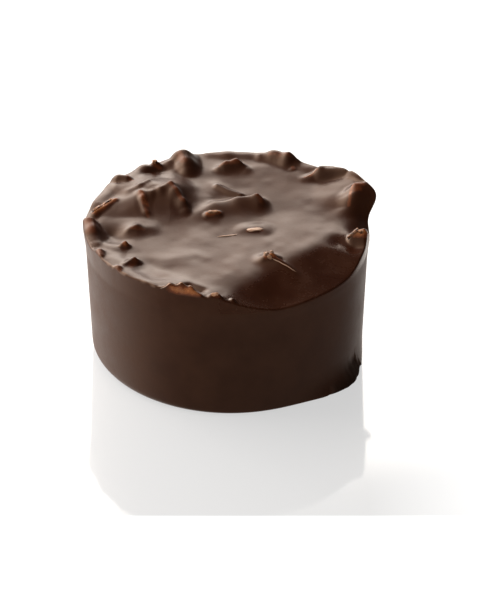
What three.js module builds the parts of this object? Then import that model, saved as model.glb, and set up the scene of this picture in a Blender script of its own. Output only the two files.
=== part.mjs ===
// Bite-sized moulded dark chocolate with chopped nuts set into its top.
// Millimetres, +Z up, origin at the middle of the flat foot, the photographed side faces -Y.
// Headings are in degrees around the upright axis, 0 at the right and 90 at the back.
import * as THREE from 'three';

// Body of the piece
const rimRadius = 17.85; // top of the wall
const footRadius = 17.2; // bottom of the wall, the mould tapers outwards
const bodyHeight = 17.1; // foot to rim, lumps stand above this
const footFillet = 0.35; // rounded edge under the wall
const footFilletLeft = 1.3; // extra rounding at the left
const filletHeading = 195;
const filletSpread = 60;
const rimEdge = 0.2; // crisp edge where the wall meets the top
const flareReach = 1.9; // squeezed-out lip at the front right of the foot
const flareHeading = -33;
const flareSpread = 17;
const flareHeight = 2.0;
const flarePower = 1.2;
const shoulderHeading = -50; // the front right of the top slopes down to the rim, this way
const shoulderStart = 11.3; // from a straight line this far from the axis
const shoulderSlope = 0.34;
const shoulderSoft = 1.0;
const shoulderLeft = -102; // it fades out over these turns at both ends
const shoulderLeftFade = 34;
const shoulderRight = -20;
const shoulderRightFade = 20;
const liftDepth = 4.5; // how far down the wall the lumps still pull it up
const blend = 4.0; // how softly neighbouring lumps melt together, more is crisper

// Mesh density
const rings = 30; // rings over the top, each has 6 more points than the one inside it
const columns = 6 * rings;
const filletBands = 3;
const lowBands = 3; // from the foot's rounded edge to the top of the lip
const wallBands = 5; // in the part of the wall that carries lumps
const edgeBands = 1;

// Coated nut pieces: both ends of a crest, its rise above the rim at each end, the width of
// its skirt, 2 for a round top and less for a pointed one, and a share by which the skirt is
// shorter towards a heading.
const lumps = [
  // raised back left part of the top
  [[-9.0, 7.4], [-7.0, 7.2], [2.15, 2.15], 4.2, 1.6, 0.35, 20],
  [[-12.4, 6.8], [-11.2, 7.6], [1.1, 1.5], 1.2, 1.8, 0.2, 90],
  [[-11.2, 7.6], [-9.9, 8.4], [1.5, 1.95], 1.1, 1.7, 0.25, 90],
  [[-9.9, 8.4], [-8.5, 7.7], [1.95, 1.85], 1.2, 1.7, 0.3, 90],
  [[-8.5, 7.7], [-7.2, 8.2], [1.85, 2.0], 1.2, 1.7, 0.3, 90],
  [[-7.2, 8.2], [-6.3, 7.1], [2.0, 2.0], 1.3, 1.8, 0.3, 60],
  [[-6.3, 7.1], [-5.4, 5.2], [2.0, 1.5], 1.2, 2.0, 0.2, 20],
  [[-5.4, 5.2], [-5.0, 3.8], [1.5, 0.9], 1.1, 2.0, 0.2, 20],
  [[-10.9, 5.9], [-10.6, 4.6], [1.6, 1.4], 0.8, 2.0, 0, 0],
  [[-10.6, 4.6], [-10.3, 2.6], [1.4, 0.9], 0.75, 2.0, 0, 0],
  [[-13.6, 4.6], [-11.6, 4.6], [0.8, 1.1], 2.2, 2.2, 0.2, 90],
  [[-4.2, 6.5], [-3.4, 3.6], [0.45, 0.4], 2.2, 2.4, 0.2, 180],
  // left rim
  [[-17.0, -0.4], [-16.7, -2.2], [1.6, 1.2], 1.3, 2.5, 0.1, 0],
  [[-16.7, -2.2], [-16.2, -4.4], [1.15, 0.6], 1.4, 2.2, 0.1, 0],
  [[-16.6, 2.4], [-14.2, 5.0], [0.9, 1.15], 0.8, 1.6, 0, 0],
  [[-14.6, 4.0], [-12.0, 6.0], [0.75, 0.9], 2.6, 2.4, 0.15, 135],
  [[-16.2, 5.2], [-14.4, 8.6], [0.75, 0.95], 1.5, 2.4, 0, 0],
  [[-13.6, 8.2], [-12.2, 8.6], [1.1, 1.15], 1.7, 2.5, 0.2, 135],
  [[-13.7, 9.9], [-12.8, 9.7], [1.85, 1.75], 0.95, 3.0, 0, 0],
  [[-12.3, 10.8], [-10.5, 13.2], [1.05, 1.25], 1.4, 2.3, 0, 0],
  [[-10.5, 13.2], [-7.9, 14.3], [1.25, 1.05], 1.4, 2.3, 0, 0],
  [[-11.0, 10.6], [-7.4, 11.6], [0.75, 0.8], 1.8, 2.4, 0, 0],
  [[-9.5, 13.9], [-8.9, 13.9], [1.85, 1.5], 0.6, 1.8, 0, 0],
  [[-15.2, 1.2], [-11.0, 0.7], [0.35, 0.4], 1.7, 2.0, 0.2, 90],
  [[-12.2, -1.5], [-11.4, -1.1], [0.5, 0.8], 0.8, 2.0, 0.2, -90],
  [[-11.4, -1.1], [-10.2, -0.7], [0.65, 0.45], 2.0, 2.0, 0.35, -90],
  // back rim
  [[-6.4, 15.4], [-5.6, 15.4], [2.0, 1.9], 1.4, 2.4, 0.15, 180],
  [[-5.6, 16.8], [-5.5, 15.4], [1.0, 1.8], 1.8, 2.2, 0.15, 180],
  [[-5.5, 15.4], [-5.4, 13.9], [1.9, 1.85], 1.85, 2.3, 0.15, 180],
  [[-5.4, 13.9], [-5.2, 12.8], [1.85, 1.3], 1.6, 2.3, 0.15, 180],
  [[-7.2, 14.6], [-6.8, 13.2], [1.3, 0.85], 1.5, 2.0, 0, 0],
  [[-6.0, 17.2], [9.0, 16.0], [0.85, 0.85], 9.0, 2.0, 0, 0],
  [[-2.2, 17.2], [0.0, 17.2], [0.8, 0.95], 1.4, 2.3, 0, 0],
  [[0.0, 17.2], [4.5, 17.0], [1.0, 1.0], 1.5, 2.3, 0, 0],
  [[-1.0, 13.4], [-0.1, 14.0], [1.0, 1.45], 1.0, 1.8, 0.2, 90],
  [[-0.1, 14.0], [1.1, 14.2], [1.45, 1.7], 1.3, 1.9, 0.2, 90],
  [[1.1, 14.2], [2.4, 13.2], [1.6, 0.9], 1.2, 1.9, 0.1, 90],
  [[2.0, 13.4], [4.6, 13.8], [0.65, 0.6], 2.2, 2.0, 0.2, 90],
  [[4.5, 16.4], [6.2, 16.2], [1.25, 1.65], 1.4, 2.1, 0, 0],
  [[6.2, 16.2], [7.7, 15.5], [1.65, 1.85], 1.4, 2.2, 0, 0],
  [[7.7, 15.5], [8.8, 14.9], [1.8, 1.2], 1.2, 2.1, 0.1, 0],
  [[9.0, 15.0], [11.3, 13.5], [0.9, 1.0], 1.5, 2.4, 0, 0],
  [[8.5, 13.6], [8.5, 13.6], [0.8, 0.8], 0.7, 1.9, 0, 0],
  // back right rim
  [[9.9, 11.2], [11.6, 11.9], [0.7, 1.4], 1.1, 1.9, 0, 0],
  [[12.2, 11.9], [14.4, 11.0], [1.75, 2.2], 1.35, 4.0, 0, 0],
  [[15.3, 9.6], [16.9, 7.8], [2.35, 2.7], 1.2, 2.4, 0, 0],
  [[16.4, 8.6], [17.5, 8.0], [1.9, 1.9], 4.2, 2.0, 0, 0],
  // large nut that overhangs the wall at the right
  [[15.1, 6.4], [16.5, 6.7], [2.0, 2.35], 1.3, 2.2, 0.2, 90],
  [[15.1, 6.4], [14.75, 5.1], [2.0, 1.6], 1.4, 2.2, 0.4, 180],
  [[14.75, 5.1], [14.65, 3.95], [1.6, 1.1], 1.2, 2.2, 0.4, 180],
  // ridge across the middle
  [[-2.9, 8.2], [-1.6, 9.2], [0.4, 0.6], 2.4, 2.2, 0, 0],
  [[-1.2, 9.1], [1.7, 7.4], [0.95, 0.6], 0.7, 1.8, 0, 0],
  [[4.3, 5.1], [3.7, 5.6], [1.05, 1.35], 0.95, 2.0, 0.1, 0],
  [[3.7, 5.6], [1.4, 5.3], [1.35, 1.05], 1.4, 1.6, 0.3, 80],
  [[1.4, 5.3], [-1.5, 4.5], [1.05, 0.75], 1.9, 1.6, 0.35, 90],
  [[-1.5, 4.5], [-3.6, 2.9], [0.75, 0.3], 2.0, 1.8, 0.3, 90],
  [[-2.3, 2.3], [-1.0, 2.5], [0.75, 0.8], 0.7, 1.8, 0, 0],
  [[2.7, -0.6], [4.4, -0.6], [0.28, 0.28], 1.4, 2.2, 0, 0],
  // front left
  [[-15.8, -8.0], [-10.0, -14.6], [0.6, 0.65], 2.8, 2.2, 0, 0],
  [[-10.0, -14.6], [-1.0, -17.6], [0.65, 0.45], 2.6, 2.2, 0, 0],
  [[-12.9, -5.3], [-12.5, -5.2], [0.8, 1.05], 0.5, 1.7, 0, 0],
  [[-13.8, -5.6], [-15.0, -5.0], [0.4, 0.4], 1.8, 2.0, 0, 0],
  [[-15.8, -7.0], [-15.7, -8.0], [0.95, 0.8], 0.8, 1.8, 0, 0],
  [[-11.5, -9.3], [-12.7, -10.2], [1.1, 0.9], 0.85, 2.0, 0, 0],
  [[-12.6, -10.0], [-14.2, -8.8], [0.45, 0.45], 1.7, 2.2, 0, 0],
  [[-13.3, -11.2], [-13.3, -11.2], [0.95, 0.95], 0.8, 1.9, 0, 0],
  [[-7.6, -8.6], [-3.9, -7.4], [0.2, 0.25], 1.9, 1.8, 0.3, 90],
  // front rim
  [[-8.0, -16.0], [-6.8, -16.3], [0.8, 1.3], 0.6, 1.8, 0, 0],
  [[-6.8, -16.3], [-5.4, -16.4], [1.3, 1.45], 0.65, 1.8, 0, 0],
  [[-5.4, -16.4], [-4.3, -16.7], [1.45, 1.25], 0.6, 1.8, 0, 0],
  [[-4.3, -16.7], [-3.3, -17.3], [1.25, 0.7], 0.55, 1.8, 0, 0],
  [[-1.8, -17.3], [-0.9, -17.3], [1.0, 1.0], 0.6, 1.9, 0, 0],
  [[0.8, -17.3], [0.8, -17.3], [0.7, 0.7], 0.5, 1.9, 0, 0],
  [[-7.6, -13.8], [-5.2, -14.0], [0.2, 0.2], 1.4, 2.0, 0, 0],
  // front right
  [[4.9, -8.4], [5.6, -8.3], [0.85, 1.05], 0.9, 1.8, 0.25, -60],
  [[5.6, -8.4], [8.5, -10.2], [0.85, 0.2], 0.75, 1.5, 0.35, 45],
  [[6.8, -8.2], [9.4, -6.6], [0.2, 0.35], 4.2, 2.0, 0.45, -50],
  [[9.4, -6.6], [12.5, -4.3], [0.35, 0.45], 4.2, 2.0, 0.45, -50],
  [[12.5, -4.3], [14.8, -3.9], [0.45, 0.8], 3.4, 2.0, 0.45, -50],
  [[15.2, -3.2], [17.2, -3.2], [1.35, 1.5], 0.95, 2.6, 0, 0],
];

// Hollows between the lumps, same fields as above, the rise is taken away
const hollows = [
  [[-14.2, -2.2], [-13.8, -3.4], [0.35, 0.35], 1.2, 2.0, 0, 0],
  [[-4.6, -14.9], [-3.3, -15.8], [0.5, 0.5], 0.6, 2.0, 0, 0],
  [[-10.6, -11.4], [-8.4, -13.2], [0.25, 0.25], 1.3, 2.0, 0, 0],
  [[-3.3, -8.4], [-1.1, -9.4], [0.2, 0.2], 1.7, 2.0, 0, 0],
  [[-9.5, -9.4], [-7.2, -10.4], [0.2, 0.2], 1.4, 2.0, 0, 0],
  [[14.1, -6.6], [15.6, -6.6], [0.35, 0.35], 1.2, 2.0, 0, 0],
  [[2.4, -11.0], [5.0, -11.4], [0.2, 0.2], 1.6, 2.0, 0, 0],
  [[18.4, 2.6], [18.4, 0.0], [1.6, 1.6], 2.5, 2.2, 0, 0],
];

// Nuts that push the top of the wall outwards: heading and half width in degrees, reach,
// height above the rim and half height in millimetres
const pushes = [
  [18, 11, 2.0, 1.2, 1.8],
  [2, 10, 0.2, -0.5, 1.6],
  [34, 10, 1.0, 2.0, 1.5],
  [143, 7, 0.3, 1.0, 1.0],
  [-178, 12, 0.25, 0.6, 2.0],
];
const pushStart = 13.5; // radius where a push begins
const pushRun = 3.5; // radial distance over which it grows

const radians = (degrees) => (degrees * Math.PI) / 180;
const clamp = (value) => Math.min(1, Math.max(0, value));
const smooth = (value) => {
  const t = clamp(value);
  return t * t * (3 - 2 * t);
};

// One soft bump over an angle, 1 at its centre
function arcBump(angle, centre, spread) {
  const turn = Math.atan2(Math.sin(angle - radians(centre)), Math.cos(angle - radians(centre)));
  return Math.exp(-((turn / radians(spread)) ** 2));
}

// Height of one lump at a point of the top
function lumpHeight(x, y, [[atX, atY], [toX, toY], [riseAt, riseTo], reach, round, lean, heading]) {
  const runX = toX - atX;
  const runY = toY - atY;
  const length2 = runX * runX + runY * runY;
  const along = length2 > 0 ? clamp(((x - atX) * runX + (y - atY) * runY) / length2) : 0;
  const offX = x - atX - along * runX;
  const offY = y - atY - along * runY;
  const distance = Math.max(Math.hypot(offX, offY), 1e-6);
  const towards = offX * Math.cos(radians(heading)) + offY * Math.sin(radians(heading));
  const skirt = reach * (1 - (lean * towards) / distance);
  return (riseAt + (riseTo - riseAt) * along) * Math.exp(-((distance / skirt) ** round));
}

// How far the top sinks at its front right
function shoulder(x, y) {
  const heading = radians(shoulderHeading);
  const past = x * Math.cos(heading) + y * Math.sin(heading) - shoulderStart;
  const degrees = (Math.atan2(y, x) * 180) / Math.PI;
  const left = smooth((degrees - shoulderLeft) / shoulderLeftFade);
  const right = smooth((shoulderRight - degrees) / shoulderRightFade);
  return ((shoulderSlope * (Math.hypot(past, shoulderSoft) + past)) / 2) * left * right;
}

// Height of the whole relief over the rim plane
function relief(x, y) {
  let total = 0;
  for (const lump of lumps) total += lumpHeight(x, y, lump) ** blend;
  let height = total ** (1 / blend);
  for (const hollow of hollows) height -= lumpHeight(x, y, hollow);
  return height - shoulder(x, y);
}

// Takes a point of the plain body and gives the point with lumps, overhangs and foot lip
function shaped(angle, radius, height) {
  const lip = clamp(1 - height / flareHeight) ** flarePower;
  let r = radius + flareReach * arcBump(angle, flareHeading, flareSpread) * lip;
  const carried = smooth((height - (bodyHeight - liftDepth)) / liftDepth);
  const z = height + carried * relief(r * Math.cos(angle), r * Math.sin(angle));
  const grown = smooth((r - pushStart) / pushRun);
  for (const [heading, spread, out, above, tall] of pushes) {
    const level = Math.exp(-(((z - bodyHeight - above) / tall) ** 2));
    r += out * arcBump(angle, heading, spread) * level * grown;
  }
  return [r * Math.cos(angle), r * Math.sin(angle), z];
}

// Plain profile of the body at one angle, from the foot up to the start of the top
function profile(angle) {
  const fillet = footFillet + footFilletLeft * arcBump(angle, filletHeading, filletSpread);
  const wallTop = bodyHeight - rimEdge;
  const liftStart = bodyHeight - liftDepth;
  const points = [];
  const addBands = (start, end, bands) => {
    for (let i = 1; i <= bands; i++) {
      const height = start + ((end - start) * i) / bands;
      const share = (height - fillet) / (wallTop - fillet);
      points.push([footRadius + (rimRadius - footRadius) * share, height]);
    }
  };
  for (let i = 0; i <= filletBands; i++) {
    const turn = (i / filletBands) * (Math.PI / 2);
    points.push([footRadius - fillet + fillet * Math.sin(turn), fillet - fillet * Math.cos(turn)]);
  }
  addBands(fillet, flareHeight, lowBands);
  addBands(flareHeight, liftStart, 1);
  addBands(liftStart, wallTop, wallBands);
  for (let i = 1; i <= edgeBands; i++) {
    const turn = (i / edgeBands) * (Math.PI / 2);
    points.push([rimRadius - rimEdge + rimEdge * Math.cos(turn), wallTop + rimEdge * Math.sin(turn)]);
  }
  return points;
}

function buildBody() {
  const positions = [];
  const faces = [];
  const addPoint = ([x, y, z]) => {
    positions.push(x, y, z);
    return positions.length / 3 - 1;
  };

  // wall, from the foot up, one loop of points per level
  const angles = Array.from({ length: columns }, (_, i) => (i / columns) * 2 * Math.PI);
  const profiles = angles.map(profile);
  const levels = profiles[0].length;
  const wall = [];
  for (let level = 0; level < levels; level++) {
    wall.push(angles.map((angle, i) => addPoint(shaped(angle, ...profiles[i][level]))));
  }
  for (let level = 0; level + 1 < levels; level++) {
    for (let i = 0; i < columns; i++) {
      const j = (i + 1) % columns;
      faces.push(wall[level][i], wall[level][j], wall[level + 1][j]);
      faces.push(wall[level][i], wall[level + 1][j], wall[level + 1][i]);
    }
  }

  // flat foot
  const footCentre = addPoint([0, 0, 0]);
  for (let i = 0; i < columns; i++) faces.push(footCentre, wall[0][(i + 1) % columns], wall[0][i]);

  // top, rings from the middle outwards, the last one is the top loop of the wall
  let inner = [addPoint(shaped(0, 0, bodyHeight))];
  for (let ring = 1; ring <= rings; ring++) {
    const count = 6 * ring;
    const radius = ((rimRadius - rimEdge) * ring) / rings;
    const outer = [];
    for (let i = 0; i < count; i++) {
      const angle = (i / count) * 2 * Math.PI;
      outer.push(ring === rings ? wall[levels - 1][i] : addPoint(shaped(angle, radius, bodyHeight)));
    }
    const innerCount = Math.max(1, 6 * (ring - 1));
    for (let sector = 0; sector < 6; sector++) {
      for (let i = 0; i < ring; i++) {
        const a = outer[sector * ring + i];
        const b = outer[(sector * ring + i + 1) % count];
        const c = inner[(sector * (ring - 1) + i) % innerCount];
        faces.push(a, b, c);
        if (i + 1 < ring) faces.push(b, inner[(sector * (ring - 1) + i + 1) % innerCount], c);
      }
    }
    inner = outer;
  }

  const geometry = new THREE.BufferGeometry();
  geometry.setAttribute('position', new THREE.Float32BufferAttribute(positions, 3));
  geometry.setIndex(faces);
  geometry.computeVertexNormals();
  return geometry;
}

const darkChocolate = new THREE.MeshStandardMaterial({ color: 0x3a241c, roughness: 0.4, metalness: 0 });
darkChocolate.name = 'dark_chocolate';

const cluster = new THREE.Mesh(buildBody(), darkChocolate);
cluster.name = 'nut_chocolate';

const group = new THREE.Group();
group.name = 'chocolate_nut_cluster';
group.add(cluster);

export default group;
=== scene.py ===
import math

import bmesh
import bpy
import numpy as np
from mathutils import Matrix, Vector


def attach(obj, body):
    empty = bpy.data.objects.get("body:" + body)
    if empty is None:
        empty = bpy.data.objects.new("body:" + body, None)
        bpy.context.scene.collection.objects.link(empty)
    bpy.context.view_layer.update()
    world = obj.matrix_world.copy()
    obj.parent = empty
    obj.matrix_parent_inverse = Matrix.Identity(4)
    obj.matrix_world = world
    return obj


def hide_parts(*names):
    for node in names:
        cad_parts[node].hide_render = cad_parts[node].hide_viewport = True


# A bite-sized moulded dark chocolate with chopped nuts set into its top.
# Shapes are worked out in millimetres and become metres when a mesh is made.

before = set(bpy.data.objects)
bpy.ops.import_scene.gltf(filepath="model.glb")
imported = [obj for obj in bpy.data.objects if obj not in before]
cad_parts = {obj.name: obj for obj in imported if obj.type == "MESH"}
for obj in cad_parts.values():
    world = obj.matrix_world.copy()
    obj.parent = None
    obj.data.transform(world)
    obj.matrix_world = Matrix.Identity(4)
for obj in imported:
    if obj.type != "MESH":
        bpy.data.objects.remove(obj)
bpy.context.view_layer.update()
mm = 0.001
tiny = 1e-6  # keeps a division away from zero
node = "nut_chocolate"
white = (1, 1, 1, 1)


# Helpers for angles, noise and meshes

noiseTable = 4096  # random values behind the noise
noiseSteps = (73856093, 19349663, 83492791)  # large primes that scatter the cells over them


def smooth(t):
    t = np.clip(t, 0, 1)
    return t * t * (3 - 2 * t)


def arcBump(angle, centre, spread):
    turn = (angle - math.radians(centre) + math.pi) % (2 * math.pi) - math.pi
    return np.exp(-(turn / math.radians(spread)) ** 2)


def softNoise(x, y, z, cell, seed):
    # value noise between -1 and 1, one cell is its grain in millimetres
    table = np.random.default_rng(seed).random(noiseTable) * 2 - 1
    px, py, pz = np.asarray(x) / cell, np.asarray(y) / cell, np.asarray(z) / cell
    ix, iy, iz = (np.floor(p).astype(np.int64) for p in (px, py, pz))
    fx, fy, fz = smooth(px - ix), smooth(py - iy), smooth(pz - iz)
    total = 0
    for cornerX in (0, 1):
        for cornerY in (0, 1):
            for cornerZ in (0, 1):
                weight = (fx if cornerX else 1 - fx) * (fy if cornerY else 1 - fy)
                weight = weight * (fz if cornerZ else 1 - fz)
                spot = (ix + cornerX) * noiseSteps[0] ^ (iy + cornerY) * noiseSteps[1]
                spot = spot ^ (iz + cornerZ) * noiseSteps[2]
                total = total + weight * table[spot % noiseTable]
    return total


def makeObject(name, points, faces, smoothShade=True):
    mesh = bpy.data.meshes.new(name)
    mesh.from_pydata((np.asarray(points) * mm).tolist(), [], faces)
    mesh.update()
    mesh.polygons.foreach_set("use_smooth", [smoothShade] * len(mesh.polygons))
    obj = bpy.data.objects.new(name, mesh)
    bpy.context.scene.collection.objects.link(obj)
    return obj


def addMask(obj, name, values):
    layer = obj.data.attributes.new(name, "FLOAT", "POINT")
    layer.data.foreach_set("value", np.asarray(values, np.float32))


# Shader helper: sockets with arithmetic, and one method for every other node

noiseMiddle = 0.5  # the value that a noise texture wanders about


class Wire:
    def __init__(self, shade, socket):
        self.shade = shade
        self.socket = socket

    def math(self, kind, first, second):
        return self.shade.make("ShaderNodeMath", {"operation": kind}, {0: first, 1: second})

    def __add__(self, other):
        return self.math("ADD", self, other)

    def __radd__(self, other):
        return self.math("ADD", other, self)

    def __sub__(self, other):
        return self.math("SUBTRACT", self, other)

    def __rsub__(self, other):
        return self.math("SUBTRACT", other, self)

    def __mul__(self, other):
        return self.math("MULTIPLY", self, other)

    def __rmul__(self, other):
        return self.math("MULTIPLY", other, self)

    def __pow__(self, other):
        return self.math("POWER", self, other)

    def __rpow__(self, other):
        return self.math("POWER", other, self)


class Shade:
    def __init__(self, owner, surface="Principled BSDF"):
        owner.use_nodes = True
        self.material = owner
        self.tree = owner.node_tree
        self.surface = self.tree.nodes[surface]

    def make(self, kind, settings, values, output=0):
        made = self.tree.nodes.new(kind)
        for key, value in settings.items():
            setattr(made, key, value)
        for key, value in values.items():
            self.feed(made.inputs[key], value)
        return Wire(self, made.outputs[output])

    def feed(self, socket, value):
        if isinstance(value, Wire):
            self.tree.links.new(value.socket, socket)
        else:
            socket.default_value = value

    def set(self, **values):
        for key, value in values.items():
            self.feed(self.surface.inputs[key.replace("_", " ")], value)

    def place(self):
        return self.make("ShaderNodeTexCoord", {}, {}, "Object")

    def axis(self, vector, name):
        return self.make("ShaderNodeSeparateXYZ", {}, {"Vector": vector}, name)

    def mask(self, name):
        return self.make("ShaderNodeAttribute", {"attribute_name": name}, {}, "Fac")

    def noise(self, size, detail, rough, stretch=(1, 1, 1)):
        place = self.make("ShaderNodeMapping", {}, {"Vector": self.place(), "Scale": stretch})
        values = {"Vector": place, "Scale": 1 / (size * mm), "Detail": detail, "Roughness": rough}
        return self.make("ShaderNodeTexNoise", {}, values)

    def span(self, value, low, high, toLow=0.0, toHigh=1.0):
        values = {"Value": value, "From Min": low, "From Max": high, "To Min": toLow, "To Max": toHigh}
        return self.make("ShaderNodeMapRange", {"clamp": True}, values)

    def mix(self, share, first, second):
        # inputs 6 and 7 and output 2 of the node are its colour ones
        settings = {"data_type": "RGBA"}
        return self.make("ShaderNodeMix", settings, {0: share, 6: first, 7: second}, 2)

    def bump(self, strength, depth, height):
        values = {"Strength": strength, "Distance": depth * mm, "Height": height}
        return self.make("ShaderNodeBump", {}, values)


# The body and its relief. They follow the solid closely, with finer detail.

body = {
    "rimRadius": 17.85,
    "footRadius": 17.2,
    "height": 17.1,
    "footFillet": 0.35,
    "footFilletLeft": 1.3,  # the foot is rounded more on this side
    "filletLeftHeading": 195,
    "filletLeftSpread": 60,
    "rimEdge": 0.2,
    "flareReach": 1.9,  # the lip that is squeezed out at the foot
    "flareHeading": -33,
    "flareSpread": 17,
    "flareHeight": 2.0,
    "flareCurve": 1.2,
    "flareInset": 4,  # further in than this the underside keeps its plain form
    "shoulderHeading": -45,  # the front right of the top slopes down to the rim, this way
    "shoulderStart": 11.0,  # from a straight line this far from the axis
    "shoulderSlope": 0.28,
    "shoulderSoft": 1.0,
    "shoulderLeft": -102,  # it fades out over these turns at both ends
    "shoulderLeftFade": 34,
    "shoulderRight": -4,
    "shoulderRightFade": 30,
    "liftDepth": 4.5,  # the relief fades out down the wall over this height
    "pushStart": 13.5,  # the overhangs grow outwards from this radius
    "pushGrowth": 3.5,
    "brokenFrom": -52,  # the foot's edge is broken between these headings, up to this height
    "brokenFromFade": 28,
    "brokenTo": -17,
    "brokenToFade": 6,
    "brokenHeight": 1.8,
    "brokenRagged": 0.25,
    "brokenRaggedCell": 0.8,
    "brokenEdge": 0.35,
    "brokenDepth": 0.18,
    "brokenPits": 0.08,
    "brokenPitCell": 0.7,
    "footArc": 20,  # makes a length along the foot out of an angle
    "blend": 4.0,  # how crisply lumps meet
    "warp": 0.18,  # how far the lumps wander from a regular shape
    "warpCell": 1.9,
    "swell": 0.06,
    "swellCell": 3.2,
    "ripple": 0.02,
    "rippleCell": 1.3,
    "sectors": 6,
    "rings": 118,
    "filletBands": 6,
    "lowBands": 12,
    "wallBands": 18,
    "edgeBands": 7,
}

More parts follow.
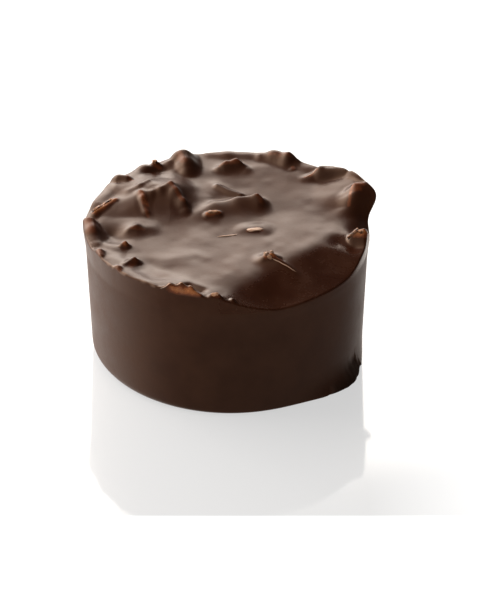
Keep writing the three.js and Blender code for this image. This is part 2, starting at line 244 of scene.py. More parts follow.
# Coated nuts: both ends of a crest, its rise above the rim there, the width of its skirt,
# 2 for a round top and less for a pointed one, and a share by which the skirt is shorter
# towards a heading in degrees.
lumps = [
    # raised back left part of the top
    ((-9.0, 7.0), (-7.0, 6.9), (2.15, 2.15), 4.3, 1.6, 0.35, -20),
    ((-12.4, 6.8), (-11.2, 7.6), (1.1, 1.5), 1.2, 1.8, 0.2, 90),
    ((-11.2, 7.6), (-9.9, 8.3), (1.5, 1.75), 1.0, 1.8, 0.25, 90),
    ((-10.9, 5.6), (-9.7, 5.4), (1.3, 1.4), 1.1, 1.8, 0, 0),
    ((-9.7, 5.4), (-8.5, 6.0), (1.4, 1.7), 1.15, 1.8, 0, 0),
    ((-8.5, 6.0), (-7.2, 6.9), (1.7, 2.1), 1.15, 1.8, 0.1, 90),
    ((-7.2, 6.9), (-6.4, 5.8), (2.1, 1.9), 1.2, 1.8, 0.2, 60),
    ((-6.4, 5.8), (-5.6, 4.4), (1.9, 1.35), 1.2, 2.0, 0.2, 20),
    ((-5.6, 4.4), (-5.2, 3.4), (1.35, 0.8), 1.1, 2.0, 0.2, 20),
    ((-10.9, 5.9), (-10.6, 4.6), (1.6, 1.4), 0.8, 2.0, 0, 0),
    ((-10.6, 4.6), (-10.3, 2.6), (1.4, 0.9), 0.75, 2.0, 0, 0),
    ((-13.6, 4.6), (-11.6, 4.6), (0.8, 1.1), 2.2, 2.2, 0.2, 90),
    ((-4.2, 6.5), (-3.4, 3.6), (0.45, 0.4), 2.2, 2.4, 0.2, 180),
    # left rim
    ((-17.0, -0.4), (-16.7, -2.2), (1.6, 1.2), 1.3, 2.5, 0.1, 0),
    ((-16.7, -2.2), (-16.2, -4.4), (1.15, 0.6), 1.4, 2.2, 0.1, 0),
    ((-16.6, 2.4), (-14.2, 5.0), (0.9, 1.15), 0.8, 1.6, 0, 0),
    ((-14.6, 4.0), (-12.0, 6.0), (0.75, 0.9), 2.6, 2.4, 0.15, 135),
    ((-16.2, 5.2), (-14.4, 8.6), (0.75, 0.95), 1.5, 2.4, 0, 0),
    ((-13.6, 8.2), (-12.2, 8.6), (1.1, 1.15), 1.7, 2.5, 0.2, 135),
    ((-13.7, 9.9), (-12.8, 9.7), (1.8, 1.75), 0.98, 2.6, 0, 0),
    ((-12.3, 10.8), (-10.5, 13.2), (1.05, 1.25), 1.4, 2.3, 0, 0),
    ((-10.5, 13.2), (-7.9, 14.3), (1.25, 1.05), 1.4, 2.3, 0, 0),
    ((-11.0, 10.6), (-7.4, 11.6), (0.75, 0.8), 1.8, 2.4, 0, 0),
    ((-9.5, 13.9), (-8.9, 13.9), (1.85, 1.5), 0.6, 1.8, 0, 0),
    ((-15.2, 1.2), (-11.0, 0.7), (0.35, 0.4), 1.7, 2.0, 0.2, 90),
    ((-12.2, -1.5), (-11.4, -1.1), (0.5, 0.8), 0.8, 2.0, 0.2, -90),
    ((-11.4, -1.1), (-10.2, -0.7), (0.65, 0.45), 2.0, 2.0, 0.35, -90),
    # back rim
    ((-6.4, 15.4), (-5.6, 15.4), (2.0, 1.9), 1.4, 2.4, 0.15, 180),
    ((-5.6, 16.8), (-5.5, 15.4), (1.0, 1.8), 1.8, 2.2, 0.15, 180),
    ((-5.5, 15.4), (-5.4, 13.9), (1.9, 1.85), 1.85, 2.3, 0.15, 180),
    ((-5.4, 13.9), (-5.2, 12.8), (1.85, 1.3), 1.6, 2.3, 0.15, 180),
    ((-7.2, 14.6), (-6.8, 13.2), (1.3, 0.85), 1.5, 2.0, 0, 0),
    ((-6.0, 17.2), (9.0, 16.0), (0.85, 0.85), 9.0, 2.0, 0, 0),
    ((-2.2, 17.2), (0.0, 17.2), (0.8, 0.95), 1.4, 2.3, 0, 0),
    ((0.0, 17.2), (4.5, 17.0), (1.0, 1.0), 1.5, 2.3, 0, 0),
    ((-1.0, 13.4), (-0.1, 14.0), (1.0, 1.45), 1.0, 1.8, 0.2, 90),
    ((-0.1, 14.0), (1.1, 14.2), (1.45, 1.7), 1.3, 1.9, 0.2, 90),
    ((1.1, 14.2), (2.4, 13.2), (1.6, 0.9), 1.2, 1.9, 0.1, 90),
    ((2.0, 13.4), (4.6, 13.8), (0.65, 0.6), 2.2, 2.0, 0.2, 90),
    ((4.5, 16.4), (6.2, 16.2), (1.25, 1.6), 1.4, 2.1, 0, 0),
    ((6.2, 16.2), (7.7, 15.5), (1.65, 1.9), 1.6, 2.4, 0, 0),
    ((7.7, 15.5), (8.8, 14.9), (1.8, 1.2), 1.2, 2.1, 0.1, 0),
    ((9.0, 15.0), (11.3, 13.5), (0.9, 1.0), 1.5, 2.4, 0, 0),
    ((8.5, 13.6), (8.5, 13.6), (0.8, 0.8), 0.7, 1.9, 0, 0),
    # back right rim
    ((9.9, 11.2), (11.6, 11.9), (0.7, 1.4), 1.1, 1.9, 0, 0),
    ((12.2, 11.9), (14.4, 11.0), (1.75, 2.2), 1.35, 4.0, 0, 0),
    ((15.3, 9.6), (16.9, 7.8), (2.35, 2.7), 1.2, 2.4, 0, 0),
    ((16.4, 8.6), (17.5, 8.0), (1.9, 1.9), 4.2, 2.0, 0, 0),
    # large nut that overhangs the wall at the right
    ((15.1, 6.4), (16.5, 6.7), (2.0, 2.35), 1.3, 2.2, 0.2, 90),
    ((15.1, 6.4), (14.85, 5.2), (2.0, 1.6), 1.3, 2.0, 0.2, 180),
    ((14.95, 5.1), (14.8, 3.9), (1.45, 0.7), 1.4, 1.7, 0.1, 150),
    # ridge across the middle
    ((-2.9, 8.2), (-1.6, 9.2), (0.4, 0.6), 2.4, 2.2, 0, 0),
    ((-1.2, 9.1), (1.7, 7.4), (0.95, 0.6), 0.7, 1.8, 0, 0),
    ((4.3, 5.1), (3.7, 5.6), (1.05, 1.35), 0.95, 2.0, 0.1, 0),
    ((3.7, 5.6), (1.4, 5.3), (1.35, 1.05), 1.4, 1.6, 0.3, 80),
    ((1.4, 5.3), (-1.5, 4.5), (1.05, 0.75), 1.9, 1.6, 0.35, 90),
    ((-1.5, 4.5), (-3.6, 2.9), (0.75, 0.3), 2.0, 1.8, 0.3, 90),
    ((-2.3, 2.3), (-1.0, 2.5), (0.75, 0.8), 0.7, 1.8, 0, 0),
    ((2.7, -0.6), (4.4, -0.6), (0.28, 0.28), 1.4, 2.2, 0, 0),
    # front left
    ((-15.8, -8.0), (-10.0, -14.6), (0.6, 0.65), 2.8, 2.2, 0, 0),
    ((-10.0, -14.6), (-1.0, -17.6), (0.65, 0.45), 2.6, 2.2, 0, 0),
    ((-12.9, -5.3), (-12.5, -5.2), (0.8, 1.05), 0.5, 1.7, 0, 0),
    ((-13.8, -5.6), (-15.0, -5.0), (0.4, 0.4), 1.8, 2.0, 0, 0),
    ((-15.8, -7.0), (-15.7, -8.0), (0.95, 0.8), 0.8, 1.8, 0, 0),
    ((-11.5, -9.3), (-12.5, -10.3), (1.0, 0.7), 0.75, 1.8, 0, 0),
    ((-12.6, -10.0), (-14.2, -8.8), (0.45, 0.45), 1.7, 2.2, 0, 0),
    ((-13.3, -11.2), (-13.3, -11.2), (0.95, 0.95), 0.8, 1.9, 0, 0),
    ((-7.6, -8.6), (-3.9, -7.4), (0.12, 0.15), 1.9, 1.8, 0.3, 90),
    # front rim
    ((-8.0, -16.0), (-6.8, -16.3), (0.8, 1.3), 0.6, 1.8, 0, 0),
    ((-6.8, -16.3), (-5.4, -16.4), (1.3, 1.45), 0.65, 1.8, 0, 0),
    ((-5.4, -16.4), (-4.3, -16.7), (1.45, 1.25), 0.6, 1.8, 0, 0),
    ((-4.3, -16.7), (-3.3, -17.3), (1.25, 0.7), 0.55, 1.8, 0, 0),
    ((-1.8, -17.3), (-0.9, -17.3), (1.0, 1.0), 0.6, 1.9, 0, 0),
    ((0.8, -17.3), (0.8, -17.3), (0.7, 0.7), 0.5, 1.9, 0, 0),
    ((-7.6, -13.8), (-5.2, -14.0), (0.2, 0.2), 1.4, 2.0, 0, 0),
    # front right
    ((4.9, -8.4), (5.6, -8.3), (0.85, 1.05), 0.9, 1.8, 0.25, -60),
    ((5.6, -8.4), (8.5, -10.2), (0.85, 0.2), 0.75, 1.5, 0.35, 45),
    ((6.8, -8.2), (9.4, -6.6), (0.05, 0.15), 3.6, 2.0, 0.4, -50),
    ((9.4, -6.6), (12.5, -5.0), (0.15, 0.2), 3.6, 2.0, 0.4, -50),
    ((15.7, -2.6), (17.0, -2.8), (1.2, 1.8), 0.8, 2.2, 0.2, 180),
]

# Hollows between the lumps, the rise is taken away
hollows = [
    ((-14.2, -2.2), (-13.8, -3.4), (0.35, 0.35), 1.2, 2.0, 0, 0),
    ((-4.6, -14.9), (-3.3, -15.8), (0.5, 0.5), 0.6, 2.0, 0, 0),
    ((-10.6, -11.4), (-8.4, -13.2), (0.2, 0.2), 1.3, 2.0, 0, 0),
    ((-3.3, -8.4), (-1.1, -9.4), (0.12, 0.12), 1.7, 2.0, 0, 0),
    ((-9.5, -9.4), (-7.2, -10.4), (0.12, 0.12), 1.4, 2.0, 0, 0),
    ((1.5, -17.8), (5.5, -17.0), (0.6, 0.6), 4.5, 2.0, 0, 0),
    ((18.4, 2.6), (18.4, 0.0), (1.6, 1.6), 2.5, 2.2, 0, 0),
    ((14.0, -3.6), (15.6, -4.2), (0.45, 0.45), 1.4, 2.0, 0, 0),
]

# Nuts that push the top of the wall outwards: heading and spread in degrees, reach,
# height above the rim and half height
pushes = [
    (18, 11, 2.0, 1.2, 1.8),
    (2, 10, 0.2, -0.5, 1.6),
    (34, 10, 1.0, 2.0, 1.5),
    (143, 7, 0.3, 1.0, 1.0),
    (-178, 12, 0.25, 0.6, 2.0),
]


def lumpHeight(x, y, lump):
    (atX, atY), (toX, toY), rise, reach, roundness, lean, heading = lump
    runX, runY = toX - atX, toY - atY
    length2 = runX * runX + runY * runY
    along = np.clip(((x - atX) * runX + (y - atY) * runY) / length2, 0, 1) if length2 else 0 * x
    offX, offY = x - atX - along * runX, y - atY - along * runY
    distance = np.hypot(offX, offY)
    towards = offX * math.cos(math.radians(heading)) + offY * math.sin(math.radians(heading))
    skirt = reach * (1 - lean * towards / np.maximum(distance, tiny))
    return (rise[0] + (rise[1] - rise[0]) * along) * np.exp(-(distance / skirt) ** roundness)


def pastShoulder(x, y):
    heading = math.radians(body["shoulderHeading"])
    return x * math.cos(heading) + y * math.sin(heading) - body["shoulderStart"]


def shoulder(x, y):
    # how far the top sinks at its front right
    past = pastShoulder(x, y)
    degrees = np.degrees(np.arctan2(y, x))
    left = smooth((degrees - body["shoulderLeft"]) / body["shoulderLeftFade"])
    right = smooth((body["shoulderRight"] - degrees) / body["shoulderRightFade"])
    return body["shoulderSlope"] * (np.hypot(past, body["shoulderSoft"]) + past) / 2 * left * right


def relief(x, y):
    level = 0 * x
    wx = x + body["warp"] * softNoise(x, y, level, body["warpCell"], seed=11)
    wy = y + body["warp"] * softNoise(x, y, level, body["warpCell"], seed=13)
    total = sum(lumpHeight(wx, wy, lump) ** body["blend"] for lump in lumps)
    height = total ** (1 / body["blend"])
    height = height - sum(lumpHeight(wx, wy, hollow) for hollow in hollows)
    height = height - shoulder(x, y)
    height = height + body["swell"] * softNoise(x, y, level, body["swellCell"], seed=21)
    height = height + body["ripple"] * softNoise(x, y, level, body["rippleCell"], seed=22)
    return height


def footNoise(angle, height, cell, seed):
    return softNoise(angle * body["footArc"], height, 0 * angle, cell, seed)


def brokenFoot(angle, height):
    # 1 on the rough break at the front right of the foot, 0 elsewhere
    degrees = np.degrees(angle + math.pi) % 360 - 180
    ramp = smooth((degrees - body["brokenFrom"]) / body["brokenFromFade"])
    ramp = ramp * smooth((body["brokenTo"] - degrees) / body["brokenToFade"])
    ragged = body["brokenRagged"] * footNoise(angle, height, body["brokenRaggedCell"], seed=41)
    return smooth((body["brokenHeight"] * ramp + ragged * ramp - height) / body["brokenEdge"])


def shaped(angle, radius, height):
    # a point of the plain body becomes one with foot lip, lumps and overhangs
    outside = radius > body["footRadius"] - body["flareInset"]
    lip = np.clip(1 - height / body["flareHeight"], 0, 1) ** body["flareCurve"] * outside
    r = radius + body["flareReach"] * arcBump(angle, body["flareHeading"], body["flareSpread"]) * lip
    pits = body["brokenPits"] * footNoise(angle, height, body["brokenPitCell"], seed=42)
    r = r - brokenFoot(angle, height) * (body["brokenDepth"] + pits)
    carried = smooth((height - (body["height"] - body["liftDepth"])) / body["liftDepth"])
    z = height + carried * relief(r * np.cos(angle), r * np.sin(angle))
    grown = smooth((r - body["pushStart"]) / body["pushGrowth"])
    for heading, spread, out, above, tall in pushes:
        level = np.exp(-((z - body["height"] - above) / tall) ** 2)
        r = r + out * arcBump(angle, heading, spread) * level * grown
    return np.stack([r * np.cos(angle), r * np.sin(angle), z], -1)


def wallLevels(angle):
    # radius and height of each level of the wall, from the foot up to the start of the top
    leftSide = arcBump(angle, body["filletLeftHeading"], body["filletLeftSpread"])
    fillet = body["footFillet"] + body["footFilletLeft"] * leftSide
    edge = body["rimEdge"]
    foot, rim, top = body["footRadius"], body["rimRadius"], body["height"] - edge
    levels = []
    for i in range(body["filletBands"] + 1):
        turn = i / body["filletBands"] * math.pi / 2
        levels.append((foot - fillet + fillet * math.sin(turn), fillet - fillet * math.cos(turn)))
    liftStart = body["height"] - body["liftDepth"]
    for start, end, bands in ((fillet, liftStart, body["lowBands"]), (liftStart, top, body["wallBands"])):
        for i in range(1, bands + 1):
            height = start + (end - start) * i / bands
            levels.append((foot + (rim - foot) * (height - fillet) / (top - fillet), height))
    for i in range(1, body["edgeBands"] + 1):
        turn = i / body["edgeBands"] * math.pi / 2
        levels.append((rim - edge + edge * math.cos(turn), top + edge * math.sin(turn)))
    return [(r + 0 * angle, z + 0 * angle) for r, z in levels]


def bodyMesh():
    sectors, rings = body["sectors"], body["rings"]
    columns = sectors * rings
    angle = np.arange(columns) / columns * 2 * math.pi
    levels = [shaped(angle, r, z) for r, z in wallLevels(angle)]
    blocks, faces = list(levels), []
    for level in range(len(levels) - 1):
        low, high = level * columns, (level + 1) * columns
        for i in range(columns):
            j = (i + 1) % columns
            faces.append((low + i, low + j, high + j, high + i))
    count = len(levels) * columns

    # the underside, a fan about its middle
    blocks.append(np.zeros((1, 3)))
    faces += [(count, (i + 1) % columns, i) for i in range(columns)]
    count += 1

    # the top, rings about its middle, each with one more point in every sector
    blocks.append(shaped(np.zeros(1), np.zeros(1), np.full(1, body["height"])))
    inner, innerCount = count, 1
    count += 1
    for ring in range(1, rings + 1):
        size = sectors * ring
        if ring < rings:
            around = np.arange(size) / size * 2 * math.pi
            radius = (body["rimRadius"] - body["rimEdge"]) * ring / rings
            blocks.append(shaped(around, np.full(size, radius), np.full(size, body["height"])))
            outer = count
            count += size
        else:
            outer = (len(levels) - 1) * columns
        for sector in range(sectors):
            for i in range(ring):
                a = outer + sector * ring + i
                b = outer + (sector * ring + i + 1) % size
                c = inner + (sector * (ring - 1) + i) % innerCount
                faces.append((a, b, c))
                if i + 1 < ring:
                    faces.append((b, inner + (sector * (ring - 1) + i + 1) % innerCount, c))
        inner, innerCount = outer, size
    return np.concatenate(blocks), faces


# Places where the coat is thin over a nut or the nut is bare: ends, reach, strength
thinSpots = [
    ((-16.6, 2.5), (-14.2, 5.1), 0.5, 0.8),
    ((-17.3, -0.4), (-17.0, -2.6), 1.0, 0.46),
    ((-12.6, 10.0), (-12.1, 9.3), 0.5, 0.5),
    ((-9.3, 13.6), (-8.8, 13.4), 0.5, 0.55),
    ((-6.2, 15.0), (-5.6, 13.6), 0.7, 0.42),
    ((-0.8, 13.6), (1.3, 14.0), 0.6, 0.42),
    ((5.6, 16.0), (8.0, 15.2), 0.7, 0.36),
    ((8.4, 13.6), (8.6, 13.4), 0.4, 0.45),
    ((10.0, 11.3), (11.5, 11.9), 0.3, 0.5),
    ((15.8, 6.6), (15.6, 5.3), 0.25, 0.72),
    ((15.6, 5.3), (15.4, 4.2), 0.25, 0.62),
    ((16.0, 6.6), (17.2, 6.9), 0.5, 0.55),
    ((16.0, 6.0), (16.8, 6.2), 0.5, 0.5),
    ((15.9, -3.0), (17.2, -3.2), 0.5, 0.8),
    ((5.0, -8.4), (5.8, -8.4), 0.5, 0.8),
    ((5.8, -8.4), (8.5, -10.1), 0.14, 0.7),
    ((2.5, -1.5), (4.3, -1.3), 0.35, 0.7),
    ((-1.2, -2.5), (1.3, -1.9), 0.14, 0.8),
    ((-2.4, 2.2), (-1.1, 2.4), 0.45, 0.8),
    ((3.9, 5.6), (4.5, 4.8), 0.6, 0.42),
    ((-10.9, 5.5), (-10.2, 3.6), 0.5, 0.6),
    ((-10.2, 3.6), (-10.0, 1.6), 0.4, 0.45),
    ((-7.1, 6.7), (-5.6, 4.4), 0.55, 0.46),
    ((-11.9, -1.5), (-10.4, -1.4), 0.5, 0.42),
    ((-12.8, -5.5), (-12.3, -5.5), 0.35, 0.75),
    ((-15.8, -7.2), (-15.6, -8.0), 0.6, 0.45),
    ((-11.2, -9.4), (-11.8, -10.8), 0.6, 0.5),
    ((-13.3, -11.2), (-13.1, -11.8), 0.6, 0.45),
    ((-8.1, -16.6), (-5.4, -16.9), 0.5, 0.78),
    ((-5.4, -16.9), (-3.3, -17.5), 0.5, 0.78),
    ((-1.7, -17.5), (-0.9, -17.6), 0.4, 0.55),
]

# The marks on the coat that its finish reads
coatMarks = {
    "thinWander": 0.12,  # how far the edges of the thin places stray
    "thinWanderCell": 0.6,
    "thinFrom": 16.7,  # the coat is thick below this height
    "thinFade": 1.2,
    "thinRoundness": 2.0,
    "rimHighlightHeading": -132,  # the painted highlight runs along the rim this way
    "rimHighlightSpread": 20,
    "rimHighlightDrop": 0.3,  # down from the top of the rim, and in from its edge
    "rimHighlightDropFade": 0.15,
    "rimHighlightInset": 0.3,
    "rimHighlightInsetFade": 0.12,
    "rimHighlightCover": 0.3,
    "rimHighlightPatchiness": 1.2,
    "rimHighlightCell": 0.6,
    "sleekBefore": 0.8,  # the slope is sleek from this far before it starts
    "sleekFade": 2.4,
}


def thinMask(points):
    x, y, z = points.T
    wander, cell = coatMarks["thinWander"], coatMarks["thinWanderCell"]
    wx = x + wander * softNoise(x, y, z, cell, seed=31)
    wy = y + wander * softNoise(x, y, z, cell, seed=32)
    mask = 0 * x
    for at, to, reach, strength in thinSpots:
        spot = (at, to, (strength, strength), reach, coatMarks["thinRoundness"], 0, 0)
        mask = np.maximum(mask, lumpHeight(wx, wy, spot))
    return mask * smooth((z - coatMarks["thinFrom"]) / coatMarks["thinFade"])


def rimHighlightMask(points):
    # a painted highlight in patches along the edge of the rim at the front left
    x, y, z = points.T
    angle = np.arctan2(y, x)
    rim = body["rimRadius"]
    rimTop = body["height"] + relief(rim * np.cos(angle), rim * np.sin(angle))
    edge = smooth((z - rimTop + coatMarks["rimHighlightDrop"]) / coatMarks["rimHighlightDropFade"])
    edge = edge * smooth((np.hypot(x, y) - rim + coatMarks["rimHighlightInset"]) / coatMarks["rimHighlightInsetFade"])
    patches = coatMarks["rimHighlightPatchiness"] * softNoise(x, y, z, coatMarks["rimHighlightCell"], seed=51)
    along = arcBump(angle, coatMarks["rimHighlightHeading"], coatMarks["rimHighlightSpread"])
    return edge * along * smooth(coatMarks["rimHighlightCover"] + patches)


def sleekMask(points):
    past = pastShoulder(points[:, 0], points[:, 1])
    return smooth((past + coatMarks["sleekBefore"]) / coatMarks["sleekFade"])


def makeCoat():
    points, faces = bodyMesh()
    coat = makeObject("coat", points, faces)
    addMask(coat, "thin", thinMask(points))
    addMask(coat, "rimHighlight", rimHighlightMask(points))
    # the mask of the break also carries the painted shade of its face
    addMask(coat, "brokenAndShaded", brokenFoot(np.arctan2(points[:, 1], points[:, 0]), points[:, 2]))
    addMask(coat, "sleek", sleekMask(points))
    return coat


# Bare bits of nut that stand out of the coat: middle, length, width and thickness, the
# heading of the length, how far the middle lies above the coat, and how pale the bit is,
# partly its own pale skin and partly a painted highlight
chips = [
    ((-16.3, 3.1), (1.7, 0.45, 0.5), 48, 0.0, 0.0),
    ((-15.1, 4.4), (1.6, 0.4, 0.5), 44, 0.0, 0.0),
    ((-9.3, 13.7), (0.7, 0.4, 0.5), -15, 0.0, 0.0),
    ((-1.7, 2.35), (1.3, 0.45, 0.35), 5, 0.0, 0.2),
    ((3.5, -1.2), (1.9, 0.8, 0.25), 4, 0.0, 1.0),
    ((15.7, -2.9), (1.4, 0.4, 0.4), 4, 0.0, 0.1),
    ((16.7, -3.1), (0.7, 0.4, 0.5), -25, 0.0, 0.0),
    ((4.9, -8.3), (0.7, 0.5, 0.5), 30, 0.1, 0.7),
    ((5.3, -8.8), (0.6, 0.4, 0.5), -20, 0.1, 0.3),
    ((5.6, -8.2), (0.5, 0.4, 0.4), 10, 0.1, 0.6),
    ((-1.4, -17.5), (0.9, 0.35, 0.45), 5, 0.0, 0.0),
]

# Thin strips of nut skin lying on the coat: their ends, half width and how pale they are, partly the
# skin's own paleness and partly a painted highlight
fibres = [
    ((5.2, -8.7), (8.6, -10.3), 0.09, 1.0),
    ((-1.2, -2.5), (1.3, -2.0), 0.12, 1.0),
    ((10.0, 11.3), (11.4, 11.9), 0.06, 1.0),
    ((-8.1, -16.3), (-6.4, -16.4), 0.09, 0.4),
    ((-6.5, -16.4), (-5.2, -16.4), 0.10, 0.3),
    ((-5.3, -16.4), (-4.1, -16.9), 0.09, 0.2),
    ((-4.2, -16.8), (-3.3, -17.5), 0.08, 0.2),
]

nutBits = {
    "chipAround": 14,
    "chipRows": 8,
    "chipSquareness": 0.65,  # 1 is an ellipsoid, less is a squarer block
    "chipFacets": 0.22,
    "chipFacetCell": 0.55,
    "chipStretch": 1.3,
    "chipShift": 7.3,  # each bit is cut from the noise this much further on
    "chipStep": 0.5,  # the coat's slope is taken this far to either side
    "fibreAround": 6,
    "fibreSteps": 16,
    "fibreWander": 0.05,
    "fibreWanderCell": 0.5,
    "fibreLift": 0.3,  # shares of its half width
    "fibreThickness": 0.35,
    "fibreEnd": 0.02,  # the share of width that is left at its ends, squared
}


def onCoat(x, y, lift):
    return shaped(np.arctan2(y, x), np.hypot(x, y), body["height"] + 0 * x) + [0, 0, lift]


def tubeFaces(rows, around):
    # quads between the rows of points, and a cap at each end
    faces = []
    for row in range(rows - 1):
        low, high = row * around, (row + 1) * around
        for i in range(around):
            j = (i + 1) % around
            faces.append((low + i, low + j, high + j, high + i))
    faces.append(tuple(range(around))[::-1])
    faces.append(tuple((rows - 1) * around + i for i in range(around)))
    return faces


def chipMesh(size, shift):
    # a rounded block broken into facets
    rows, around = nutBits["chipRows"], nutBits["chipAround"]
    points = []
    for row in range(rows + 1):
        tilt = math.pi * row / rows - math.pi / 2
        for i in range(around):
            turn = 2 * math.pi * i / around
            across, level = math.cos(tilt) * math.cos(turn), math.cos(tilt) * math.sin(turn)
            ball = np.array([across, level, math.sin(tilt)])
            points.append(np.sign(ball) * np.abs(ball) ** nutBits["chipSquareness"])
    points = np.array(points)
    facets = softNoise(*(points.T * nutBits["chipStretch"] + shift), nutBits["chipFacetCell"], seed=61)
    points = points * (1 + nutBits["chipFacets"] * facets)[:, None] * np.array(size) / 2
    return points, tubeFaces(rows + 1, around)


def fibreMesh(at, to, half):
    steps, around = nutBits["fibreSteps"], nutBits["fibreAround"]
    along = np.linspace(0, 1, steps)
    x, y = at[0] + (to[0] - at[0]) * along, at[1] + (to[1] - at[1]) * along
    x = x + nutBits["fibreWander"] * softNoise(x, y, 0 * x, nutBits["fibreWanderCell"], seed=71)
    spine = onCoat(x, y, half * nutBits["fibreLift"])
    taper = np.sqrt(np.clip(4 * along * (1 - along), nutBits["fibreEnd"], 1))
    side = np.array([-(to[1] - at[1]), to[0] - at[0], 0]) / math.dist(at, to)
    up = np.array([0, 0, nutBits["fibreThickness"]])
    points = []
    for i in range(steps):
        for k in range(around):
            turn = 2 * math.pi * k / around
            points.append(spine[i] + half * taper[i] * (math.cos(turn) * side + math.sin(turn) * up))
    return np.array(points), tubeFaces(steps, around)


def placedChip(middle, size, heading, lift, shift):
    points, faces = chipMesh(size, shift)
    turn = math.radians(heading)
    c, s = math.cos(turn), math.sin(turn)
    points = points @ np.array([[c, s, 0], [-s, c, 0], [0, 0, 1]])
    # the block leans as the coat does under it
    step = nutBits["chipStep"]
    centre = onCoat(np.array(middle[0]), np.array(middle[1]), lift)
    fore = onCoat(np.array(middle[0] + c * step), np.array(middle[1] + s * step), lift)
    back = onCoat(np.array(middle[0] - c * step), np.array(middle[1] - s * step), lift)
    rise = (fore[2] - back[2]) / (2 * step)
    points[:, 2] += (points[:, 0] * c + points[:, 1] * s) * rise
    return points + centre, faces


def makeNuts():
    bits = []
    for number, (middle, size, heading, lift, paleAndHighlight) in enumerate(chips):
        bits.append((*placedChip(middle, size, heading, lift, number * nutBits["chipShift"]), paleAndHighlight))
    for at, to, half, paleAndHighlight in fibres:
        bits.append((*fibreMesh(at, to, half), paleAndHighlight))
    blocks, faces, palesAndHighlights, count = [], [], [], 0
    for points, bitFaces, paleAndHighlight in bits:
        blocks.append(points)
        faces += [tuple(count + i for i in face) for face in bitFaces]
        palesAndHighlights += [paleAndHighlight] * len(points)
        count += len(points)
    nuts = makeObject("bareNuts", np.concatenate(blocks), faces, False)
    addMask(nuts, "paleAndHighlight", palesAndHighlights)
    return nuts


# Finishes

chocolate = {
    "dark": (0.034, 0.0080, 0.0030, 1),
    "light": (0.046, 0.0130, 0.0052, 1),
    "thinRed": (0.17, 0.040, 0.012, 1),
    "thinTan": (0.46, 0.17, 0.052, 1),
    # painted highlight colour for the front-left rim edge
    "paintedRimHighlight": (0.34, 0.22, 0.16, 1),
    # painted shade colour for the broken face of the foot
    "brokenShadeColour": (0.012, 0.005, 0.0025, 1),
    "specularTint": (1.0, 0.70, 0.50, 1),
    "ior": 1.5,
    "cloudSize": 4.0,  # the noises, from clouds in the colour down to fine pits
    "dimpleSize": 1.2,
    "grainSize": 0.35,
    "fineSize": 0.12,
    "cloudSpan": (0.35, 0.65),
    "redSpan": (0.22, 0.62),  # as the coat thins it turns red and then tan
    "redGrain": 0.35,
    "tanSpan": (0.55, 0.95),
    "tanFine": 0.5,
    "tanGrain": 0.4,
    "rimHighlightShare": 0.55,
    "brokenShadeShare": 0.7,
    "roughLow": 0.42,
    "roughHigh": 0.52,
    "roughSpan": (0.3, 0.7),
    "roughGrain": 0.4,
    "brokenRougher": 0.35,
    "thinRougher": 0.08,
    "topSmoother": 0.09,
    "topFrom": 2.6,  # the top starts between these two drops below the rim
    "topFull": 2.0,
    "slopeSmoother": 0.12,  # on the slope at the front right
    "bump": 0.10,
    "bumpDepth": 0.1,
    "bumpGrain": 0.5,
    "bumpFine": 0.2,
}


def chocolateShade():
    s = Shade(bpy.data.materials.new("darkChocolate"))
    look = chocolate
    cloud = s.noise(look["cloudSize"], detail=3, rough=0.55)
    grain = s.noise(look["grainSize"], detail=3, rough=0.6)
    fine = s.noise(look["fineSize"], detail=2, rough=0.5)
    dimples = s.noise(look["dimpleSize"], detail=2, rough=0.5)
    thin = s.mask("thin")
    red = s.span(thin + (grain - noiseMiddle) * look["redGrain"], *look["redSpan"])
    speckle = (fine - noiseMiddle) * look["tanFine"] + (grain - noiseMiddle) * look["tanGrain"]
    tan = s.span(thin + speckle, *look["tanSpan"])
    colour = s.mix(s.span(cloud, *look["cloudSpan"]), look["dark"], look["light"])
    colour = s.mix(red, colour, look["thinRed"])
    colour = s.mix(tan, colour, look["thinTan"])
    # painted highlight: a light colour along the front-left rim edge, where the edge catches the light
    colour = s.mix(s.mask("rimHighlight") * look["rimHighlightShare"], colour, look["paintedRimHighlight"])
    # painted shade: the broken face at the front right of the foot is coloured darker, standing in for the
    # shade it lies in; its rough break is modelled
    colour = s.mix(s.mask("brokenAndShaded") * look["brokenShadeShare"], colour, look["brokenShadeColour"])

    uneven = cloud + (grain - noiseMiddle) * look["roughGrain"]
    rough = s.span(uneven, *look["roughSpan"], look["roughLow"], look["roughHigh"])
    rough = rough + s.mask("brokenAndShaded") * look["brokenRougher"] + red * look["thinRougher"]
    topFrom, topFull = (body["height"] - look["topFrom"]) * mm, (body["height"] - look["topFull"]) * mm
    onTop = s.span(s.axis(s.place(), "Z"), topFrom, topFull)
    rough = rough - onTop * (look["topSmoother"] + s.mask("sleek") * look["slopeSmoother"])

    pits = grain * look["bumpGrain"] + fine * look["bumpFine"] + dimples
    normal = s.bump(look["bump"], look["bumpDepth"], pits)
    s.set(Base_Color=colour, Roughness=rough, Normal=normal)
    s.set(IOR=look["ior"], Specular_Tint=look["specularTint"])
    return s.material


nutLook = {
    "flesh": (0.50, 0.25, 0.13, 1),
    "deep": (0.21, 0.075, 0.022, 1),
    "smear": (0.05, 0.014, 0.005, 1),
    # pale nut skin, partly a painted highlight
    "paleAndHighlight": (0.62, 0.40, 0.28, 1),
    "paleHighlightShare": 0.8,
    "patchSize": 0.7,
    "grainSize": 0.16,
    "fibreSize": 0.3,
    "fibreStretch": (0.25, 1, 1),
    "fleshSpan": (0.40, 0.62),
    "fleshGrain": 0.6,
    "smearSpan": (0.50, 0.36),  # chocolate smeared over the nut
    "smearFibre": 0.8,
    "roughness": 0.42,
    "ior": 1.45,
    "bump": 0.3,
    "bumpDepth": 0.1,
    "bumpGrain": 0.5,
}


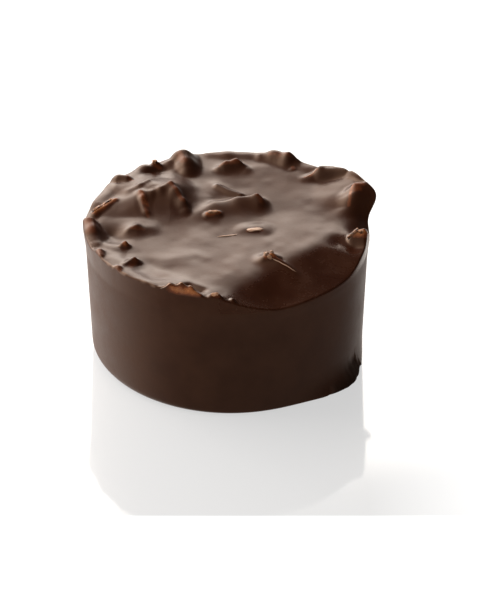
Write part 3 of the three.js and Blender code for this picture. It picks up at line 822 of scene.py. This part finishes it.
def nutShade():
    s = Shade(bpy.data.materials.new("choppedNut"))
    look = nutLook
    patch = s.noise(look["patchSize"], detail=2, rough=0.6)
    grain = s.noise(look["grainSize"], detail=3, rough=0.6)
    fibre = s.noise(look["fibreSize"], detail=3, rough=0.6, stretch=look["fibreStretch"])
    flesh = s.span(patch + (grain - noiseMiddle) * look["fleshGrain"], *look["fleshSpan"])
    smear = s.span(patch + (fibre - noiseMiddle) * look["smearFibre"], *look["smearSpan"])
    colour = s.mix(flesh, look["deep"], look["flesh"])
    colour = s.mix(smear, colour, look["smear"])
    # partly painted highlight: the pale mix lightens chips and fibres where they catch the light, on top
    # of the skin's own paleness
    colour = s.mix(s.mask("paleAndHighlight") * look["paleHighlightShare"], colour, look["paleAndHighlight"])
    normal = s.bump(look["bump"], look["bumpDepth"], fibre + grain * look["bumpGrain"])
    s.set(Base_Color=colour, Normal=normal)
    s.set(Roughness=look["roughness"], IOR=look["ior"])
    return s.material


# Floor and backdrop, in metres

stageLook = {
    "floorSize": 3.0,
    "floorColour": (0.27, 0.28, 0.29, 1),
    "floorGlow": 0.58,
    "floorShadowFillFrom": -0.0393,  # nearer than this the table glows all white, painted light that whitens out the shading round the piece
    "floorShadowFillFade": 0.0005,
    "floorRightShadowFill": (0.017, 0.03),  # over this span to the right it glows this much whiter, painted light over the piece's cast shadow
    "floorRightShadowFillShare": 0.5,
    "floorRoughness": 0.07,
    "floorIor": 1.6,
    "domeRadius": 1.45,
    "domeSegments": 48,
    "domeRings": 24,
}


def makeFloor():
    half = stageLook["floorSize"] / mm / 2
    corners = [(-half, -half, 0), (half, -half, 0), (half, half, 0), (-half, half, 0)]
    floor = makeObject("floor", corners, [(0, 1, 2, 3)], False)
    s = Shade(bpy.data.materials.new("paleFloor"))
    turn, glow = stageLook["floorShadowFillFrom"], stageLook["floorGlow"]
    # painted light: the floor glows whiter in front of the piece and to its right, over its cast shadow
    frontShadowFill = s.span(s.axis(s.place(), "Y"), turn, turn - stageLook["floorShadowFillFade"])
    rightShadowFillShare = stageLook["floorRightShadowFillShare"]
    rightShadowFill = s.span(s.axis(s.place(), "X"), *stageLook["floorRightShadowFill"], 0, rightShadowFillShare)
    glowWithShadowFill = s.mix(frontShadowFill + rightShadowFill, (glow, glow, glow, 1), white)
    s.set(Base_Color=stageLook["floorColour"], Roughness=stageLook["floorRoughness"])
    s.set(IOR=stageLook["floorIor"], Emission_Color=glowWithShadowFill, Emission_Strength=1.0)
    floor.data.materials.append(s.material)
    floor.visible_glossy = False  # the gloss of the wall mirrors the surround instead


def makeBackdrop():
    # a white dome far behind the piece, seen only directly
    mesh = bpy.data.meshes.new("backdrop")
    shape = bmesh.new()
    segments, rings = stageLook["domeSegments"], stageLook["domeRings"]
    bmesh.ops.create_uvsphere(shape, u_segments=segments, v_segments=rings, radius=stageLook["domeRadius"])
    shape.to_mesh(mesh)
    shape.free()
    dome = bpy.data.objects.new("backdrop", mesh)
    bpy.context.scene.collection.objects.link(dome)
    s = Shade(bpy.data.materials.new("paleBackdrop"))
    s.set(Base_Color=(0, 0, 0, 1), Roughness=1.0, Emission_Color=white, Emission_Strength=1.0)
    mesh.materials.append(s.material)
    dome.visible_glossy = False
    dome.visible_diffuse = False
    dome.visible_shadow = False
    dome.visible_transmission = False


# Studio

studio = {
    "lampColour": (1.0, 0.93, 0.86),
    "surroundColour": (1, 0.94, 0.88, 1),
    "fill": 0.05,  # all round
    "ceiling": 1.9,  # overhead, bright at the left and dark at the right
    "ceilingRise": (0.0, 0.5),  # this and the spans below are parts of a direction, from -1 to 1
    "ceilingToLeft": (0.35, -0.45),
    "ceilingCurve": 2.8,
    "ceilingToBack": (-0.9, 0.6),
    "ceilingFront": 0.25,  # what is left of it at the front
    "horizon": (0.05, -0.05),  # the table below starts over this span
    "tableFront": 0.16,  # what the wall mirrors from the table in front
    "tableLeftBack": 1.3,  # and from the table behind at the left
    "leftBackTurn": (0.6, 0.8),
    "leftBackSpan": (0.03, 0.75),
    "tableRight": 0.45,  # and in a narrow band at the right
    "rightTurn": 0.5,
    "rightSpan": (0.8, 1.05),
    "rightDrop": (-0.1, -0.4),
    # name: place, size, power in watts, all aimed at the piece, metres
    "backSoftbox": ((-0.24, 0.65, 0.28), (0.82, 0.40), 5.2),
    "leftSoftbox": ((-0.56, 0.20, 0.38), (0.55, 0.55), 3.8),
}
view = {
    "elevation": 31.0,
    "distance": 500.0,
    "lens": 236.0,
    "target": (1.65, 0.0, 6.35),
    "nearest": 10.0,  # the camera sees nothing nearer than this
}


def aim(obj, target):
    direction = Vector(target) - obj.location
    obj.rotation_euler = direction.to_track_quat("-Z", "Y").to_euler()


def makeSurround():
    # dim light from all round, a ceiling that is bright at the left, and the table below
    world = bpy.data.worlds.new("studioSurround")
    bpy.context.scene.world = world
    s = Shade(world, "Background")
    around = s.make("ShaderNodeTexCoord", {}, {}, "Generated")
    x, y, z = (s.axis(around, name) for name in "XYZ")
    left, back = studio["leftBackTurn"]
    leftBack = s.span(y * back - x * left, *studio["leftBackSpan"])
    right = s.span(x * studio["rightTurn"] + y, *studio["rightSpan"]) * s.span(z, *studio["rightDrop"])
    table = studio["tableFront"] + leftBack * studio["tableLeftBack"] + right * studio["tableRight"]
    table = s.span(z, *studio["horizon"]) * table
    toLeft = s.span(x, *studio["ceilingToLeft"]) ** studio["ceilingCurve"]
    toBack = s.span(y, *studio["ceilingToBack"], studio["ceilingFront"], 1.0)
    ceiling = s.span(z, *studio["ceilingRise"]) * (toLeft * toBack) * studio["ceiling"]
    s.set(Color=studio["surroundColour"], Strength=table + ceiling + studio["fill"])


def makeLamps():
    for name in ("backSoftbox", "leftSoftbox"):
        place, size, power = studio[name]
        lamp = bpy.data.lights.new(name, "AREA")
        lamp.shape = "RECTANGLE"
        lamp.size, lamp.size_y = size
        lamp.energy = power
        lamp.color = studio["lampColour"]
        obj = bpy.data.objects.new(name, lamp)
        obj.location = place
        bpy.context.scene.collection.objects.link(obj)
        aim(obj, (0, 0, body["height"] * mm))


def makeCamera():
    lens = bpy.data.cameras.new("camera")
    lens.lens = view["lens"]
    lens.clip_start = view["nearest"] * mm
    camera = bpy.data.objects.new("camera", lens)
    tilt = math.radians(view["elevation"])
    target = Vector(view["target"]) * mm
    away = Vector((0, -math.cos(tilt), math.sin(tilt))) * view["distance"] * mm
    camera.location = target + away
    aim(camera, target)
    bpy.context.scene.collection.objects.link(camera)
    bpy.context.scene.camera = camera
    bpy.context.scene.view_settings.view_transform = "Standard"


coat = makeCoat()
coat.data.materials.append(chocolateShade())
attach(coat, "root")
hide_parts(node)
print("coat made")

nuts = makeNuts()
nuts.data.materials.append(nutShade())
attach(nuts, "root")
print("nuts made")

makeFloor()
makeBackdrop()
makeSurround()
makeLamps()
makeCamera()
print("studio made")
